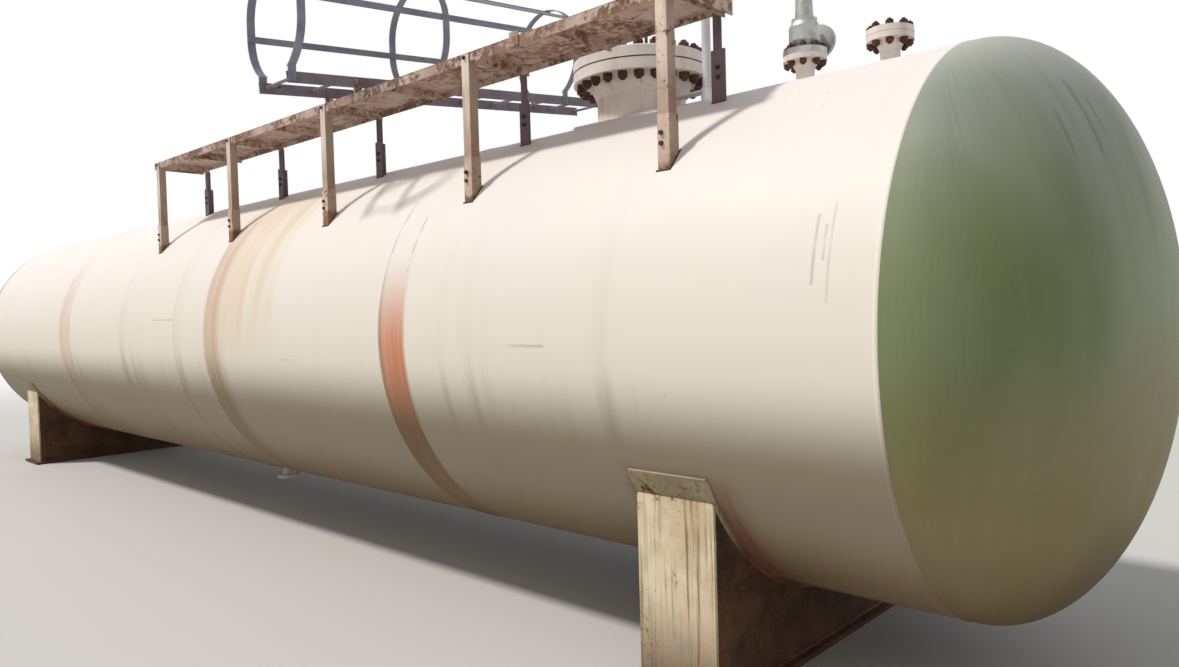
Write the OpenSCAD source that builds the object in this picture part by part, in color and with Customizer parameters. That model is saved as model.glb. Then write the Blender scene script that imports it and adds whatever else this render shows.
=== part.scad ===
// Horizontal pressure tank on two welded steel saddles, with a bolted manway and its
// swing arm, a narrow service walkway beside the crest, and a caged access ladder laid
// across the walkway. The long axis is X. The origin is under the middle of the fixed
// saddle's base plate, and the walkway's side of the tank is -Y.

/* [Tank] */
// Outside diameter of the shell
tank_d = 2400; // [2000:50:3000]
// Wall of the shell
shell_t = 14; // [8:1:24]
// Length from one head's tangent line to the other's
tangent_len = 11500; // [9500:100:16000]
// Depth of each dished head beyond its tangent line
head_depth = 600; // [450:10:900]
// Wall of the heads
head_t = 14; // [8:1:24]
// Straight skirt of each head
head_skirt = 40; // [20:5:80]
// Clear height under the belly
belly_gap = 300; // [240:10:500]

/* [Saddles] */
// Distance from each tangent line to the middle of its saddle
saddle_inset = 1010; // [700:10:1500]
// Width of a saddle along the tank
saddle_w = 400; // [260:10:600]
// Plate that webs and ribs are cut from
saddle_t = 14; // [8:1:25]
// Angle from the lowest line of the shell up to a saddle's horn
horn_angle = 57.5; // [50:0.5:62]
// Wear plate between saddle and shell
wear_t = 12; // [6:1:20]
// Extra angle that the wear plate runs past the horn
wear_over = 5.5; // [2:0.5:9]
// Thickness of the base plate
base_t = 25; // [15:1:40]
// Margin of the base plate around webs and ribs
base_margin = 45; // [30:1:90]
// Anchor hole diameter
anchor_d = 33; // [22:1:42]
// Length of the slots in the sliding base plate
slot_len = 75; // [50:1:110]
// Distance between anchor holes along the base plate
anchor_along = 1640; // [1100:20:1700]
// Distance between anchor holes across the base plate
anchor_across = 240; // [160:10:260]

/* [Manway] */
// Place of the manway along the tank
man_x = -950; // [-1200:10:-850]
// Outside diameter of the manway neck
neck_d = 508; // [450:2:560]
// Wall of the neck
neck_t = 14; // [8:1:25]
// Height of the flange joint over the crest
neck_rise = 276; // [200:2:360]
// Flange diameter
flange_d = 775; // [700:5:820]
// Flange thickness, also of the cover
flange_t = 63.5; // [45:0.5:80]
// Diameter of the reinforcing pad on the shell
pad_d = 790; // [700:5:820]
// Thickness of the reinforcing pad
pad_t = 14; // [8:1:20]
// Tube of the swing arm that lifts the cover
davit_d = 48; // [34:1:60]
// Distance from the flange's rim to the swing arm
davit_gap = 45; // [38:1:70]
// Height of the swing arm over the cover
davit_rise = 330; // [240:5:420]

/* [Nozzles] */
// Place of the relief valve's nozzle along the tank
relief_x = 90; // [0:10:300]
// Place of the blanked vapour nozzle along the tank
vapour_x = 520; // [460:10:700]
// Place of the open bottom outlet along the tank
outlet_x = -5300; // [-6500:10:-3500]
// Outside diameter of the nozzle pipes
nozzle_d = 89; // [60:1:115]
// Wall of the nozzle pipes
nozzle_t = 8; // [4:0.5:12]
// Height of the nozzle flanges' faces off the shell
nozzle_rise = 150; // [110:5:190]
// Nozzle flange diameter
nozzle_flange_d = 210; // [190:2:240]
// Nozzle flange thickness
nozzle_flange_t = 28.5; // [18:0.5:36]
// Bolt circle of the nozzle flanges
nozzle_pcd = 168.3; // [150:0.1:180]
// Bolt hole diameter of the nozzle flanges
nozzle_hole_d = 22.2; // [14:0.1:24]

/* [Walkway] */
// Height of the deck's top over the crest
deck_rise = 305; // [260:5:400]
// Distance from the tank's middle plane to the deck's inner edge
deck_in = 525; // [500:5:600]
// Width of the deck
deck_w = 420; // [380:10:480]
// Deck end past the first and last post
deck_over = 80; // [60:5:300]
// Place of the first post along the tank
post_x0 = -60; // [-150:10:60]
// Distance between posts
post_pitch = 1380; // [1150:10:1500]
// Distance that the second post stands nearer to the first
post_shift = 75; // [0:5:150]
// Legs of the outer frame angle
rail_leg = 50; // [40:1:65]
// Legs of the inner frame angle
inner_rail_leg = 30; // [25:1:50]
// Thickness of the frame angles
rail_t = 5; // [4:0.5:8]
// Deck sheet
sheet_t = 5; // [3:0.5:8]
// Upstand along the deck's inner edge
kerb_h = 40; // [30:1:80]
// Legs of the outer post angles
post_leg = 60; // [50:1:75]
// Legs of the inner post angles
inner_leg = 45; // [40:1:60]
// Thickness of the post angles
post_t = 6; // [5:0.5:8]
// Legs of the foot angles that stand on the shell
foot_leg = 75; // [68:1:90]
// Thickness of the foot angles
foot_t = 8; // [6:0.5:10]
// Height of the foot angles
foot_h = 240; // [150:5:300]

/* [Ladder] */
// Place of the ladder's middle along the tank
ladder_x = -2610; // [-3200:10:-2000]
// Length of the ladder
ladder_len = 2780; // [2700:10:3300]
// Distance that the ladder reaches past the deck's outer edge
ladder_reach = 440; // [300:10:600]
// Distance between the stringers' outer faces
ladder_w = 350; // [320:5:420]
// Depth of the stringer bars
stringer_h = 65; // [55:1:90]
// Thickness of the stringer bars
stringer_t = 10; // [8:1:12]
// Rung diameter
rung_d = 20; // [16:1:25]
// Rung spacing
rung_pitch = 300; // [250:5:320]
// Height of the blocks that the stringers rest on at the deck's outer edge
block_h = 30; // [15:1:45]
// Outside width of the cage hoops, round at foot and top
hoop_d = 620; // [580:5:700]
// Height of the straight sides between a hoop's round foot and its round top
hoop_side_h = 90; // [20:5:150]
// Width of the hoop strip
hoop_w = 50; // [40:1:60]
// Thickness of the hoop and cage strips
strip_t = 6; // [4:0.5:8]
// Distance from the first hoop to the second
hoop_pitch = 1030; // [900:10:1150]
// Distance from the second hoop to the third
hoop_pitch_2 = 1230; // [1000:10:1300]
// Height of the middle of a hoop's round foot over the ladder's underside
hoop_mid = 352; // [320:1:380]

/* [Hidden] */
// Running clearance between curved faces that seat on each other
seat = 0.3;
// Cuts run this far past the faces that they open
past = 1;
smooth = 96;
// The tank itself is round to a twentieth of a millimetre
very_smooth = 360;

tank_r = tank_d / 2;
axis_h = tank_r + belly_gap;
front_x = saddle_inset;
rear_x = front_x - tangent_len;
slide_x = rear_x + saddle_inset;
head_steps = 40;

rib_y = (tank_r + seat + wear_t) * sin(horn_angle);
base_len = 2 * (rib_y + base_margin);
base_w = saddle_w + 2 * base_margin;
rib_count = 3;

joint_z = axis_h + tank_r + neck_rise;
davit_x = man_x + flange_d / 2 + davit_gap + davit_d / 2;
davit_bend = 120;
socket_d = davit_d + 18;
socket_h = 90;
socket_top = joint_z - flange_t - 2 * hub_of(flange_t) - 12;
lug_t = 12;

deck_z = axis_h + tank_r + deck_rise;
deck_out = deck_in + deck_w;
post_count = 5;
deck_x0 = post_x0 + deck_over;
deck_x1 = post_x0 - (post_count - 1) * post_pitch - deck_over;
frame_top = deck_z - sheet_t;
frame_low = frame_top - rail_leg;
// Height of a post's lower end over the shell
post_lift = 15;
edge_lug_x = -1015;
edge_lug_w = 65;
edge_lug_rise = 22;

tilt = atan(kerb_h / (deck_w - rail_t));
hoop_at = [hoop_w / 2, hoop_w / 2 + hoop_pitch, hoop_w / 2 + hoop_pitch + hoop_pitch_2];
strip_w = 40;
// Angle of each cage strip from the top, and whether it is on the hoops' round top
strips = [[-90, 0], [-46, 1], [0, 1], [46, 1], [84, 1]];

// Height of the shell's outside over the tank's axis at a distance y from the middle
function shell_at(y, r = tank_r) = sqrt(r * r - y * y);

// One quarter of an ellipse as [distance from the axis, distance along it]
function quarter(a, b, steps) = [for (i = [0 : steps]) [a * cos(90 * i / steps), b * sin(90 * i / steps)]];

function back_quarter(a, b, steps) =
    [for (i = [steps : -1 : 0]) [a * cos(90 * i / steps), b * sin(90 * i / steps)]];

// A round bar along X, centred on the tank's axis
module along_tank(r, x0, x1) {
    translate([x0, 0, axis_h]) rotate([0, 90, 0]) cylinder(h = x1 - x0, r = r, $fn = very_smooth);
}

// A wall that follows the shell between two radii
module around_shell(r0, r1, x0, x1) {
    difference() {
        along_tank(r1, x0, x1);
        along_tank(r0, x0 - past, x1 + past);
    }
}

module upright(x, y, z0, z1, d) {
    translate([x, y, z0]) cylinder(h = z1 - z0, d = d, $fn = smooth);
}

// Shell and heads

module shell() {
    color("ivory")
        difference() {
            around_shell(tank_r - shell_t, tank_r, rear_x + head_skirt, front_x - head_skirt);
            upright(man_x, 0, axis_h, joint_z, neck_d + 2 * seat);
            for (x = [relief_x, vapour_x])
                upright(x, 0, axis_h, joint_z, nozzle_d + 2 * seat);
            upright(outlet_x, 0, 0, axis_h, nozzle_d + 2 * seat);
        }
}

// Dished head about its own tangent plane, opening towards -Z
module head() {
    outer = quarter(tank_r, head_depth, head_steps);
    inner = back_quarter(tank_r - head_t, head_depth - head_t, head_steps);
    rotate_extrude($fn = smooth)
        polygon(concat(
            [[tank_r - head_t, -head_skirt], [tank_r, -head_skirt]], outer, inner));
}

module front_head() {
    color("ivory") translate([front_x, 0, axis_h]) rotate([0, 90, 0]) head();
}

module rear_head() {
    color("ivory") translate([rear_x, 0, axis_h]) rotate([0, -90, 0]) head();
}

// Saddles

// A pie piece of the space under the tank's axis, half_angle each side of straight down
module below_axis(half_angle, x0, x1) {
    reach = 2 * tank_r;
    translate([x1, 0, axis_h]) rotate([0, -90, 0])
        linear_extrude(height = x1 - x0)
            polygon([[0, 0], [-reach * cos(half_angle), reach * sin(half_angle)],
                [-reach, 0], [-reach * cos(half_angle), -reach * sin(half_angle)]]);
}

module wear_plate(x) {
    color("ivory")
        intersection() {
            around_shell(tank_r + seat, tank_r + seat + wear_t, x - saddle_w / 2, x + saddle_w / 2);
            below_axis(horn_angle + wear_over, x - saddle_w, x + saddle_w);
        }
}

// Space that the wear plate and the shell above it take
module saddle_seat(x) {
    along_tank(tank_r + seat + wear_t + seat, x - saddle_w, x + saddle_w);
}

module saddle_webs(x) {
    color("sienna")
        for (side = [-1, 1])
            difference() {
                translate([x + side * (saddle_w - saddle_t) / 2 - saddle_t / 2, saddle_t - rib_y, base_t])
                    cube([saddle_t, 2 * (rib_y - saddle_t), axis_h - base_t]);
                saddle_seat(x);
            }
}

module saddle_ribs(x) {
    spacing = 2 * (rib_y - saddle_t) / (rib_count + 1);
    color("ivory")
        difference() {
            union() {
                for (side = [-1, 1])
                    translate([x - saddle_w / 2, side * (rib_y - saddle_t / 2) - saddle_t / 2, base_t])
                        cube([saddle_w, saddle_t, axis_h - tank_r * cos(horn_angle) - base_t]);
                for (i = [1 : rib_count])
                    translate([x - saddle_w / 2 + saddle_t,
                            -rib_y + saddle_t + i * spacing - saddle_t / 2, base_t])
                        cube([saddle_w - 2 * saddle_t, saddle_t, axis_h - base_t]);
            }
            saddle_seat(x);
        }
}

module base_plate(x, slot) {
    color("sienna")
        difference() {
            translate([x - base_w / 2, -base_len / 2, 0]) cube([base_w, base_len, base_t]);
            for (sx = [-1, 1], sy = [-1, 1])
                translate([x + sx * anchor_across / 2, sy * anchor_along / 2, -past]) {
                    for (end = slot > 0 ? [-1, 1] : [0])
                        translate([end * (slot - anchor_d) / 2, 0, 0])
                            cylinder(h = base_t + 2 * past, d = anchor_d, $fn = smooth);
                    if (slot > 0)
                        translate([-(slot - anchor_d) / 2, -anchor_d / 2, 0])
                            cube([slot - anchor_d, anchor_d, base_t + 2 * past]);
                }
        }
}

module fixed_wear_plate() { wear_plate(0); }
module fixed_saddle_webs() { saddle_webs(0); }
module fixed_saddle_ribs() { saddle_ribs(0); }
module fixed_base_plate() { base_plate(0, 0); }
module sliding_wear_plate() { wear_plate(slide_x); }
module sliding_saddle_webs() { saddle_webs(slide_x); }
module sliding_saddle_ribs() { saddle_ribs(slide_x); }
module sliding_base_plate() { base_plate(slide_x, slot_len); }

// Manway

module manway_pad() {
    color("ivory")
        difference() {
            intersection() {
                around_shell(tank_r + seat, tank_r + seat + pad_t, man_x - pad_d, man_x + pad_d);
                upright(man_x, 0, axis_h, joint_z, pad_d);
            }
            upright(man_x, 0, axis_h, joint_z, neck_d + 2 * seat);
        }
}

// Height of the tapered hub under a flange, and how far it widens
function hub_of(rim_t) = 0.7 * rim_t;

// Tube that ends a little inside the shell and carries a flange with a tapered hub
module flanged_neck(d, wall, rise, rim_d, rim_t) {
    hub = hub_of(rim_t);
    low = shell_at(d / 2, tank_r - shell_t) - tank_r - 2 * shell_t;
    rotate_extrude($fn = smooth)
        polygon([[d / 2 - wall, low], [d / 2, low], [d / 2, rise - rim_t - 2 * hub],
            [d / 2 + hub, rise - rim_t], [rim_d / 2, rise - rim_t], [rim_d / 2, rise],
            [d / 2 - wall, rise]]);
}

module manway_neck() {
    color("ivory")
        translate([man_x, 0, axis_h + tank_r])
            flanged_neck(neck_d, neck_t, neck_rise, flange_d, flange_t);
}

module manway_cover() {
    chamfer = 6;
    color("ivory")
        translate([man_x, 0, joint_z])
            rotate_extrude($fn = smooth)
                polygon([[0, 0], [flange_d / 2, 0], [flange_d / 2, flange_t - chamfer],
                    [flange_d / 2 - chamfer, flange_t], [0, flange_t]]);
}

// Sleeve that the swing arm turns in, carried by two plates off the neck
module davit_socket() {
    low = socket_top - socket_h;
    color("ivory")
        difference() {
            union() {
                upright(davit_x, 0, low, socket_top, socket_d);
                for (z = [low + 10, socket_top - lug_t - 10])
                    translate([man_x, -socket_d / 2, z])
                        cube([davit_x - man_x, socket_d, lug_t]);
            }
            upright(davit_x, 0, low + lug_t, socket_top + past, davit_d + 2 * seat);
            upright(man_x, 0, axis_h, joint_z, neck_d + 2 * seat);
        }
}

// Swing arm: a post, a quarter bend and a level arm that ends over the cover's middle
module davit_arm() {
    foot_z = socket_top - socket_h + lug_t + seat;
    arm_z = joint_z + flange_t + davit_rise;
    color("ivory")
        union() {
            upright(davit_x, 0, foot_z, arm_z - davit_bend, davit_d);
            translate([davit_x - davit_bend, 0, arm_z - davit_bend]) rotate([90, 0, 0])
                rotate_extrude(angle = 90, $fn = smooth)
                    translate([davit_bend, 0]) circle(d = davit_d, $fn = smooth);
            translate([man_x, 0, arm_z]) rotate([0, 90, 0])
                cylinder(h = davit_x - davit_bend - man_x, d = davit_d, $fn = smooth);
        }
}

// Nozzles

module nozzle_holes(z0, z1) {
    for (i = [0 : 7])
        rotate([0, 0, 22.5 + 45 * i]) translate([nozzle_pcd / 2, 0, z0])
            cylinder(h = z1 - z0, d = nozzle_hole_d, $fn = smooth);
}

module nozzle() {
    difference() {
        flanged_neck(nozzle_d, nozzle_t, nozzle_rise, nozzle_flange_d, nozzle_flange_t);
        nozzle_holes(nozzle_rise - nozzle_flange_t - past, nozzle_rise + past);
    }
}

module relief_nozzle() {
    color("ivory") translate([relief_x, 0, axis_h + tank_r]) nozzle();
}

// Spring-loaded relief valve: inlet flange, body, bonnet, cap and a side outlet
module relief_valve() {
    body_d = 150;
    out_z = 105;
    out_len = 165;
    color("silver")
        translate([relief_x, 0, axis_h + tank_r + nozzle_rise])
            difference() {
                union() {
                    rotate_extrude($fn = smooth)
                        polygon([[0, 0], [nozzle_flange_d / 2, 0], [nozzle_flange_d / 2, nozzle_flange_t],
                            [body_d / 2 - 15, nozzle_flange_t + 8], [body_d / 2, 70], [body_d / 2, 140],
                            [62, 165], [62, 180], [45, 180], [38, 330], [28, 330], [28, 375],
                            [22, 382], [0, 382]]);
                    translate([0, 0, out_z]) rotate([-90, 0, 0])
                        cylinder(h = out_len, d = 80, $fn = smooth);
                    translate([0, out_len - 22, out_z]) rotate([-90, 0, 0])
                        cylinder(h = 22, d = 165, $fn = smooth);
                }
                translate([0, 40, out_z]) rotate([-90, 0, 0])
                    cylinder(h = out_len, d = 60, $fn = smooth);
                nozzle_holes(-past, nozzle_flange_t + past);
            }
}

module vapour_nozzle() {
    color("ivory") translate([vapour_x, 0, axis_h + tank_r]) nozzle();
}

module vapour_cover() {
    color("ivory")
        translate([vapour_x, 0, axis_h + tank_r + nozzle_rise])
            difference() {
                cylinder(h = nozzle_flange_t, d = nozzle_flange_d, $fn = smooth);
                nozzle_holes(-past, nozzle_flange_t + past);
            }
}

module bottom_outlet() {
    color("ivory") translate([outlet_x, 0, belly_gap]) mirror([0, 0, 1]) nozzle();
}

// Walkway

function post_at(i) = post_x0 - (i - 1) * post_pitch + (i == 2 ? post_shift : 0);

// Equal angle along X with its corner at the origin, legs towards +Y and -Z
module rail(len, leg) {
    union() {
        translate([0, 0, -rail_t]) cube([len, leg, rail_t]);
        translate([0, 0, -leg]) cube([len, rail_t, leg]);
    }
}

// Two long angles with flat bars across beside each post and in the middle of each bay
module walkway_frame() {
    len = deck_x0 - deck_x1;
    beside = [for (i = [1 : post_count]) post_at(i) + post_leg / 2 + rail_t];
    between = [for (i = [1 : post_count - 1]) (post_at(i) + post_at(i + 1) - rail_t) / 2];
    color("rosybrown")
        union() {
            translate([deck_x1, -deck_out, frame_top]) rail(len, rail_leg);
            translate([deck_x1, -deck_in, frame_top]) mirror([0, 1, 0]) rail(len, inner_rail_leg);
            for (x = concat([deck_x1, deck_x0 - rail_t], beside, between))
                translate([x, -deck_out, frame_low]) cube([rail_t, deck_w, rail_leg]);
            // Lug on the outer edge, left over from a handrail
            translate([edge_lug_x, -deck_out - rail_t, deck_z - rail_leg])
                cube([edge_lug_w, rail_t, rail_leg + edge_lug_rise]);
        }
}

module walkway_deck() {
    color("rosybrown")
        translate([deck_x1, -deck_out, frame_top])
            cube([deck_x0 - deck_x1, deck_w - rail_t, sheet_t]);
}

// Flat bar on edge along the inner side of the deck
module walkway_kerb() {
    color("rosybrown")
        translate([deck_x1, -deck_in - rail_t, frame_top])
            cube([deck_x0 - deck_x1, rail_t, sheet_t + kerb_h]);
}

// Upright angle whose legs lie outside the origin's planes at -X and -Y by their thickness
module upright_angle(leg, t, z0, z1) {
    translate([-t, -t, z0]) cube([leg, t, z1 - z0]);
    translate([-t, -t, z0]) cube([t, leg, z1 - z0]);
}

// Face of the frame that the posts are bolted to: the outer angle's outside (side -1) or
// the inside of the inner angle's upright leg (side 1), as a distance from the middle
function face_y(side) = side < 0 ? deck_out : deck_in + rail_t;

function leg_of(side) = side < 0 ? post_leg : inner_leg;

// Foot angle on the shell, open on the side where the post is bolted in
module post_feet(side) {
    far_y = face_y(side) + post_t + foot_t;
    color("rosybrown")
        difference() {
            for (i = [1 : post_count])
                translate([post_at(i) - leg_of(side) / 2, -face_y(side) - post_t, 0])
                    upright_angle(foot_leg, foot_t, axis_h, axis_h + shell_at(far_y) + foot_h);
            along_tank(tank_r + seat, deck_x1, deck_x0);
        }
}

module outer_post_feet() { post_feet(-1); }
module inner_post_feet() { post_feet(1); }

// Post angle nested in its foot. One leg runs up along the frame and the other ends
// under it.
module post(i, side) {
    leg = leg_of(side);
    low = axis_h + shell_at(face_y(side) - leg) + post_lift;
    high = side < 0 ? frame_top : frame_top - rail_t;
    under = side < 0 ? frame_low : frame_top - inner_rail_leg;
    color("rosybrown")
        translate([post_at(i) - leg / 2 + post_t, -face_y(side), 0])
            union() {
                upright_angle(leg, post_t, low, under);
                translate([-post_t, -post_t, low]) cube([leg, post_t, high - low]);
            }
}

module outer_post_1() { post(1, -1); }
module outer_post_2() { post(2, -1); }
module outer_post_3() { post(3, -1); }
module outer_post_4() { post(4, -1); }
module outer_post_5() { post(5, -1); }
module inner_post_1() { post(1, 1); }
module inner_post_2() { post(2, 1); }
module inner_post_3() { post(3, 1); }
module inner_post_4() { post(4, 1); }
module inner_post_5() { post(5, 1); }

// Ladder and cage, drawn lying along +Y from its outer end and then tipped onto its blocks

module laid() {
    translate([ladder_x, -deck_out, deck_z + block_h]) rotate([tilt, 0, 0])
        translate([0, -ladder_reach, 0]) children();
}

module stringer(side) {
    color("dimgray")
        laid()
            translate([side * (ladder_w - stringer_t) / 2 - stringer_t / 2, 0, 0])
                cube([stringer_t, ladder_len, stringer_h]);
}

module ladder_left_stringer() { stringer(-1); }
module ladder_right_stringer() { stringer(1); }

module ladder_rungs() {
    count = floor((ladder_len - hoop_w) / rung_pitch);
    first = (ladder_len - count * rung_pitch) / 2;
    len = ladder_w - 2 * stringer_t;
    color("dimgray")
        laid()
            for (i = [0 : count])
                translate([-len / 2, first + i * rung_pitch, stringer_h / 2]) rotate([0, 90, 0])
                    cylinder(h = len, d = rung_d, $fn = smooth);
}

// Solid with the outline of a hoop, round at foot and top, running along +Y
module hoop_form(r, len) {
    union() {
        for (h = [0, hoop_side_h])
            translate([0, 0, hoop_mid + h]) rotate([-90, 0, 0])
                cylinder(h = len, r = r, $fn = smooth);
        translate([-r, 0, hoop_mid]) cube([2 * r, len, hoop_side_h]);
    }
}

// Upright hoop, cut off by the stringers, with a tab against each stringer's outer face
module hoop(i) {
    tab_top = hoop_mid - sqrt(pow(hoop_d / 2, 2) - pow(ladder_w / 2 + strip_t, 2)) + 8;
    high = hoop_mid + hoop_side_h + hoop_d / 2;
    len = 2 * hoop_w + high * tan(tilt);
    color("dimgray")
        laid() translate([0, hoop_at[i], 0])
            intersection() {
                rotate([-tilt, 0, 0]) translate([-hoop_d, -hoop_w / 2, -hoop_w])
                    cube([2 * hoop_d, hoop_w, high + 2 * hoop_w]);
                translate([0, -hoop_w, 0]) union() {
                    difference() {
                        hoop_form(hoop_d / 2, len);
                        translate([0, -past, 0]) hoop_form(hoop_d / 2 - strip_t, len + 2 * past);
                        translate([-hoop_d, -past, -hoop_d])
                            cube([2 * hoop_d, len + 2 * past, hoop_d + tab_top - 14]);
                    }
                    for (side = [-1, 1])
                        translate([side * (ladder_w / 2 + seat + strip_t / 2) - strip_t / 2, 0, 8])
                            cube([strip_t, len, tab_top - 8]);
                }
            }
}

module cage_hoop_1() { hoop(0); }
module cage_hoop_2() { hoop(1); }
module cage_hoop_3() { hoop(2); }

// Flat strips along the inside of the hoops
module cage_straps() {
    inside = hoop_d / 2 - strip_t - 1;
    color("dimgray")
        laid()
            for (strip = strips) {
                middle = hoop_mid + strip[1] * hoop_side_h;
                start = (middle + inside * cos(strip[0])) * tan(tilt);
                translate([0, start, middle]) rotate([0, strip[0], 0])
                    translate([-strip_w / 2, 0, inside - strip_t])
                        cube([strip_w, hoop_pitch + hoop_pitch_2 + hoop_w, strip_t]);
            }
}

// Blocks under the stringers, at the deck's outer edge with an upright lug and beside the
// kerb, with their tops cut to the tipped stringers
module ladder_cleats() {
    long = 45;
    block_w = stringer_t + 8;
    lug_t = 6;
    lug_h = block_h + 55;
    color("rosybrown")
        difference() {
            for (side = [-1, 1])
                translate([ladder_x + side * ladder_w / 2, 0, deck_z])
                    mirror([side < 0 ? 1 : 0, 0, 0]) union() {
                        translate([-block_w, -deck_out, 0]) cube([block_w + seat + lug_t, long, lug_h]);
                        translate([-block_w, -deck_in - rail_t - long, 0])
                            cube([block_w, long, kerb_h + block_h]);
                    }
            laid() translate([-ladder_w / 2 - seat, 0, -seat])
                cube([ladder_w + 2 * seat, ladder_len, hoop_d]);
        }
}

shell();
front_head();
rear_head();
fixed_wear_plate();
fixed_saddle_webs();
fixed_saddle_ribs();
fixed_base_plate();
sliding_wear_plate();
sliding_saddle_webs();
sliding_saddle_ribs();
sliding_base_plate();
manway_pad();
manway_neck();
manway_cover();
davit_socket();
davit_arm();
relief_nozzle();
relief_valve();
vapour_nozzle();
vapour_cover();
bottom_outlet();
walkway_frame();
walkway_deck();
walkway_kerb();
outer_post_1();
outer_post_2();
outer_post_3();
outer_post_4();
outer_post_5();
inner_post_1();
inner_post_2();
inner_post_3();
inner_post_4();
inner_post_5();
outer_post_feet();
inner_post_feet();
ladder_left_stringer();
ladder_right_stringer();
ladder_rungs();
ladder_cleats();
cage_hoop_1();
cage_hoop_2();
cage_hoop_3();
cage_straps();
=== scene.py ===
# Looks of the horizontal pressure tank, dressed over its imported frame.
# Metres, +Z up, the tank's long axis along X, walkway side towards -Y.
import math
import bpy
from mathutils import Matrix, Vector


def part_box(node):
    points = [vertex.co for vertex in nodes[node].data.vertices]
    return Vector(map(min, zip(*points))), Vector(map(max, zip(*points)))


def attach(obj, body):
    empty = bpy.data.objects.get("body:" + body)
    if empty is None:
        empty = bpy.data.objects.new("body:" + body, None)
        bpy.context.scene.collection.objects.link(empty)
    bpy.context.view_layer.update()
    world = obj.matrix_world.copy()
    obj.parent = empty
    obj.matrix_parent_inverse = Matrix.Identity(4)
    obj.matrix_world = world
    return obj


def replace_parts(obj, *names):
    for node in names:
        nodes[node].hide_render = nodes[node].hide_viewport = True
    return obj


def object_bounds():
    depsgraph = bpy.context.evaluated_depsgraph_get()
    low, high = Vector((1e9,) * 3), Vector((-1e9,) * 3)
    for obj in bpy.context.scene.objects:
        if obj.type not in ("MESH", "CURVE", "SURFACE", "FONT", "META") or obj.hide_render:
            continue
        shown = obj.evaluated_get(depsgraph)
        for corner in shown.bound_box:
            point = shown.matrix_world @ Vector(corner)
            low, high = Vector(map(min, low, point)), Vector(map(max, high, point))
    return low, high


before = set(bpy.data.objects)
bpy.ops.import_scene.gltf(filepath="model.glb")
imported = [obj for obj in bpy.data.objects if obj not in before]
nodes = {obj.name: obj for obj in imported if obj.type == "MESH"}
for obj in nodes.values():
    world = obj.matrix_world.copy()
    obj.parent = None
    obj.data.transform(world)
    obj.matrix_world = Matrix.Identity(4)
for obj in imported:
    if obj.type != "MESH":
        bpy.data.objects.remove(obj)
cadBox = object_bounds()
print("frame loaded,", len(nodes), "nodes")


# Where the picture was taken from, solved from the tank's outlines

photoCamera = {
    "place": (2.17, -3.829, 1.651),
    "turn": 0.752,          # radians from +Y towards -X
    "pitch": -0.031,
    "roll": -0.028,
    "focalPixels": 850,
    "imageWidth": 1179,
    "sensor": 36,
    "seesTo": 200,
}


def makeCamera(look):
    bpy.ops.object.camera_add(location=look["place"])
    camera = bpy.context.object
    camera.name = "photoCamera"
    level = Matrix.Rotation(math.pi / 2 + look["pitch"], 4, "X")
    turned = Matrix.Rotation(look["turn"], 4, "Z") @ level
    camera.rotation_euler = (turned @ Matrix.Rotation(look["roll"], 4, "Z")).to_euler()
    camera.data.sensor_fit = "HORIZONTAL"
    camera.data.sensor_width = look["sensor"]
    camera.data.lens = look["sensor"] * look["focalPixels"] / look["imageWidth"]
    camera.data.clip_end = look["seesTo"]
    bpy.context.scene.camera = camera


makeCamera(photoCamera)


# Places and sizes that the pieces share, read off the frame

def middleX(name):
    low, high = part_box(name)
    return (low.x + high.x) / 2


shellLow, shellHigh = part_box("shell")
axisHeight = (shellLow.z + shellHigh.z) / 2
tankRadius = (shellHigh.z - shellLow.z) / 2
coverLow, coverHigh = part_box("manway_cover")
manwayX = middleX("manway_cover")
flangeRadius = (coverHigh.x - coverLow.x) / 2
frontSeam = shellHigh.x
rearSeam = shellLow.x
deckLow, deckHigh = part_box("walkway_deck")
outerPosts = [f"outer_post_{i}" for i in range(1, 6)]
innerPosts = [f"inner_post_{i}" for i in range(1, 6)]
outerMiddles = [middleX(name) for name in outerPosts]


# Helpers for materials. A node goes into the tree of the sockets that feed it.

def tone(colour):                   # from a colour read off a screen, 0 to 255
    parts = [value / 255 for value in colour]
    return [part / 12.92 if part <= 0.04045 else ((part + 0.055) / 1.055) ** 2.4 for part in parts] + [1]


def isSocket(value):
    return isinstance(value, bpy.types.NodeSocket)


def feed(node, inputs):             # links the sockets and sets the plain values
    for name, value in inputs.items():
        if isSocket(value):
            node.id_data.links.new(value, node.inputs[name])
        else:
            node.inputs[name].default_value = value


def put(tree, kind, inputs=(), **settings):
    node = tree.nodes.new("ShaderNode" + kind)
    for name, value in settings.items():
        setattr(node, name, value)
    feed(node, dict(inputs))
    return node


def calc(operation, *values, clamp=False):
    tree = next(value for value in values if isSocket(value)).id_data
    return put(tree, "Math", dict(enumerate(values)), operation=operation, use_clamp=clamp).outputs[0]


def times(a, b):
    return calc("MULTIPLY", a, b)


def plus(a, b):
    return calc("ADD", a, b)


def minus(a, b):
    return calc("SUBTRACT", a, b)


def larger(a, b):
    return calc("MAXIMUM", a, b)


def share(first, part, second):     # so much of the first, and the rest of the second
    return plus(times(first, part), times(second, 1 - part))


def wander(value, amount):          # a noise as a shift to both sides
    return times(minus(value, 0.5), amount)


def fade(value, start, end, low=0, high=1):         # soft step from low to high
    return put(value.id_data, "MapRange", {0: value, 1: start, 2: end, 3: low, 4: high},
               interpolation_type="SMOOTHSTEP").outputs[0]


def covered(value, amount, look):   # a noise's high parts, more of them as the amount grows
    low = minus(look["start"], times(amount, look["reach"]))
    return fade(value, low, plus(low, look["soft"]))


def blend(factor, under, over):
    return put(factor.id_data, "Mix", {0: factor, 6: under, 7: over}, data_type="RGBA").outputs[2]


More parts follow.
